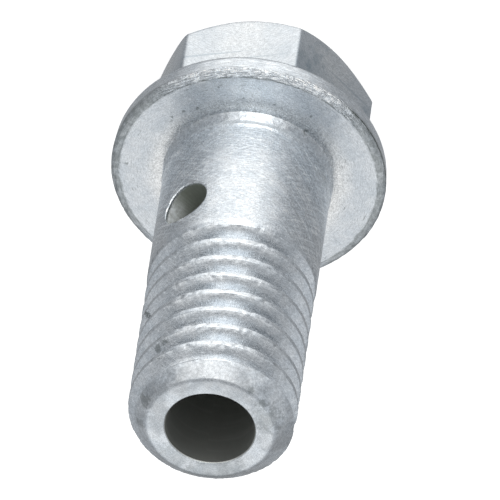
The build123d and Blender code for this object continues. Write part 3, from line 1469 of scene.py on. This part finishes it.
    def face_strokes(self) -> Socket:
        """Short dark strokes that run round the bearing face.

        Returns:
            Share of grime from 0 to 1.
        """
        face_z = self.bolt.blank.bearing_z - 0.03
        strokes = self.lines(self.arc, self.out, self.finish.face_strokes)
        above = self.by_height(face_z - 0.02, face_z)
        on_face = self.times(above, self.by_height(face_z + 0.05, face_z + 0.1, 0.6, 0.0))
        return self.times(strokes, self.grain(self.finish.face_patches), on_face)

    def across_cross_hole(self) -> tuple[Socket, Socket]:
        """Where the shaded point is across the cross hole: to the side of its axis, and above it."""
        return self.along(self.point, (0, 1, 0)), self.math("SUBTRACT", self.up, self.bolt.cross_z * METRES)

    def cross_wall(self) -> Socket:
        """Wall of the cross hole.

        Returns:
            Share from 0 to 1.
        """
        rim_r = self.bolt.cross_hole_r
        side, rise = self.across_cross_hole()
        off_axis = self.math("SQRT", self.scaled(side, side, self.times(rise, rise)))
        inside = self.spread(off_axis, (rim_r + 0.01) * METRES, (rim_r + 0.03) * METRES, 1.0, 0.0)
        return self.times(inside, self.by_distance(4.65, 4.85, 1.0, 0.0))

    def bore_wall(self) -> Socket:
        """Wall of the bore, as a share from 0 to 1."""
        in_bore = self.by_distance(self.bolt.bore_r + 0.02, self.bolt.bore_r + 0.05, 1.0, 0.0)
        return self.times(in_bore, self.by_height(1, 2))

    def cross_tone(self) -> Socket:
        """Colour of the cross hole's wall: dark oil that is also painted shade deep in the hole, and pale
        metal painted as a highlight on the side of the mouth that faces the light.

        Returns:
            The colour.
        """
        # Painted light: the wall is pale near the mouth on the side that faces the light, and dark deeper in
        # and on the other side.
        clean = self.spread(self.plus(*self.across_cross_hole()), -1.2 * METRES, 0.8 * METRES)
        clean = self.times(clean, self.by_distance(2.9, 4.3))
        streaks = self.times(self.grain(self.finish.hole_streaks), clean)
        return self.blend(streaks, self.finish.cross_oil_and_shade, self.finish.lit_drilled_metal)

    def bore_tone(self) -> Socket:
        """Colour of the bore's wall: dark oil that also paints shade in the deep hole, with faint rings left
        by the drill.
        """
        arc = self.times(self.angle, self.bolt.bore_r * METRES)
        return self.scale_colour(self.finish.oil, self.lines(arc, self.up, self.finish.bore_rings))


@dataclass(frozen=True)
class SoftLight:
    """One broad source far off: where its middle lies, how it fades and how strong it is."""

    toward: float
    across: float
    up: float
    strength: float
    fade_start: float = 0.98
    fade_end: float = 0.72


@dataclass
class Studio:
    """Pale floor, a lit surround and the camera."""

    bearing_z: float
    facing: float = math.radians(-45.2)
    polar: float = math.radians(41.18)
    roll: float = math.radians(8.608)
    distance: float = 0.98
    aim_right: float = -0.000111
    aim_up: float = 0.004238
    lens: float = 1214.28
    sensor: float = 36.0
    base: float = 0.4
    shade_tint: Colour = (0.985, 1.0, 1.02)
    light_tint: Colour = (1.015, 1.0, 0.975)
    lights: tuple[SoftLight, ...] = (
        SoftLight(toward=0.658, across=-0.1, up=-0.753, strength=0.95, fade_end=0.7),
        SoftLight(toward=1.0, across=0.0, up=0.0, strength=2.4, fade_end=0.84),
        SoftLight(toward=0.68, across=0.0, up=0.733, strength=1.2, fade_start=0.99, fade_end=0.92),
        SoftLight(toward=0.55, across=-0.5, up=0.67, strength=0.7, fade_end=0.88),
        SoftLight(toward=0.55, across=0.5, up=0.67, strength=0.45, fade_end=0.88),
        SoftLight(toward=0.0, across=0.0, up=1.0, strength=0.12, fade_start=0.6, fade_end=-0.3),
        SoftLight(toward=-0.658, across=0.0, up=0.753, strength=0.46, fade_end=0.72),
        SoftLight(toward=-0.4, across=0.75, up=0.55, strength=0.12, fade_end=0.75),
    )
    floor_r: float = 1.5
    floor_sides: int = 96
    floor_grey: float = 0.9
    floor_glow: float = 0.55
    near: float = 0.01
    far: float = 10
    tint_start: float = 0.5
    tint_end: float = 1.4

    @property
    def toward(self) -> Vector:
        """Level direction from the bolt to the camera's side."""
        return Vector((math.cos(self.facing), math.sin(self.facing), 0))

    @property
    def across(self) -> Vector:
        """Level direction to the right, seen from the camera's side."""
        return Vector((0, 0, 1)).cross(self.toward) * -1

    def camera(self) -> Object:
        """Long lens, above the bolt and rolled over, so that the tip is at the bottom.

        Returns:
            The scene's camera.
        """
        up = Vector((0, 0, 1))
        back = self.toward * math.sin(self.polar) + up * math.cos(self.polar)
        level = self.toward * math.cos(self.polar) - up * math.sin(self.polar)
        right = self.across * math.cos(self.roll) + level * math.sin(self.roll)
        top = level * math.cos(self.roll) - self.across * math.sin(self.roll)
        bearing = up * self.bearing_z * METRES
        data = bpy.data.cameras.new("camera")
        data.lens = self.lens
        data.sensor_width = self.sensor
        data.clip_start = self.near
        data.clip_end = self.far
        camera = bpy.data.objects.new("camera", data)
        turn = Matrix((right, top, back)).transposed().to_4x4()
        place = bearing - right * self.aim_right - top * self.aim_up + back * self.distance
        camera.matrix_world = Matrix.Translation(place) @ turn
        bpy.context.scene.collection.objects.link(camera)
        bpy.context.scene.camera = camera
        return camera

    def surround(self) -> bpy.types.World:
        """World that lights the bolt: a bright arc on the camera's side, greys elsewhere.

        Returns:
            The scene's world, white to the camera.
        """
        world = bpy.data.worlds.new("surround")
        world.use_nodes = True
        bpy.context.scene.world = world
        graph = Graph(world.node_tree)
        shown = world.node_tree.nodes["Background"]
        direction = graph.add("ShaderNodeTexCoord").outputs["Generated"]
        total: Value = self.base
        for light in self.lights:
            middle = self.toward * light.toward + self.across * light.across + Vector((0, 0, light.up))
            near = graph.along(direction, middle.normalized())
            glow = graph.spread(near, light.fade_end, light.fade_start, 0.0, light.strength)
            total = graph.plus(glow, total)
        path = graph.add("ShaderNodeLightPath")
        seen = graph.most(path.outputs["Is Camera Ray"], path.outputs["Is Transmission Ray"])
        graph.join(graph.most(total, seen), shown.inputs["Strength"])
        bright = graph.spread(total, self.tint_start, self.tint_end)
        tint = graph.blend(bright, self.shade_tint, self.light_tint)
        graph.join(graph.blend(seen, tint, (1.0, 1.0, 1.0)), shown.inputs["Color"])
        return world

    def floor(self) -> Object:
        """White table top that takes the bolt's shadow and lets light from below through.

        Returns:
            The floor.
        """
        shape = bmesh.new()
        bmesh.ops.create_circle(shape, cap_ends=True, segments=self.floor_sides, radius=self.floor_r)
        floor = to_object("floor", shape)
        material = bpy.data.materials.new("table_top")
        material.use_nodes = True
        shader = material.node_tree.nodes["Principled BSDF"]
        shader.inputs["Base Color"].default_value = (*[self.floor_grey] * 3, 1.0)
        shader.inputs["Roughness"].default_value = 1.0
        shader.inputs["Specular IOR Level"].default_value = 0.0
        shader.inputs["Emission Color"].default_value = (1.0, 1.0, 1.0, 1.0)
        shader.inputs["Emission Strength"].default_value = self.floor_glow
        floor.data.materials.append(material)
        for ray in ("diffuse", "glossy", "transmission", "volume_scatter", "shadow"):
            setattr(floor, f"visible_{ray}", False)
        return floor


def main() -> None:
    """Build the studio and the bolt, in order, and report each piece."""
    logging.basicConfig(level=logging.INFO, format="%(name)s: %(message)s")
    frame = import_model()
    LOG.info("frame: nodes %s", ", ".join(frame["nodes"]))

    bpy.context.scene.view_settings.view_transform = "Standard"
    blank = Blank()
    tip_z = blank.bearing_z + BanjoBolt.under_head_length
    bolt = BanjoBolt(Thread(bearing_z=blank.bearing_z, tip_z=tip_z), blank)

    studio = Studio(bearing_z=blank.bearing_z)
    studio.camera()
    studio.surround()
    studio.floor()
    LOG.info("studio: camera, surround and floor")

    piece = bolt.build()
    Handling(bolt).apply(piece)
    piece.data.transform(Matrix.Scale(METRES, 4))
    piece.data.shade_smooth()
    piece.data.set_sharp_from_angle(angle=bolt.sharp_angle)
    piece.data.materials.clear()
    piece.data.materials.append(ZincPlating().material(bolt))
    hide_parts(NODE)
    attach(piece, BODY)
    LOG.info("%s: %d faces", piece.name, len(piece.data.polygons))


if __name__ == "__main__":
    main()
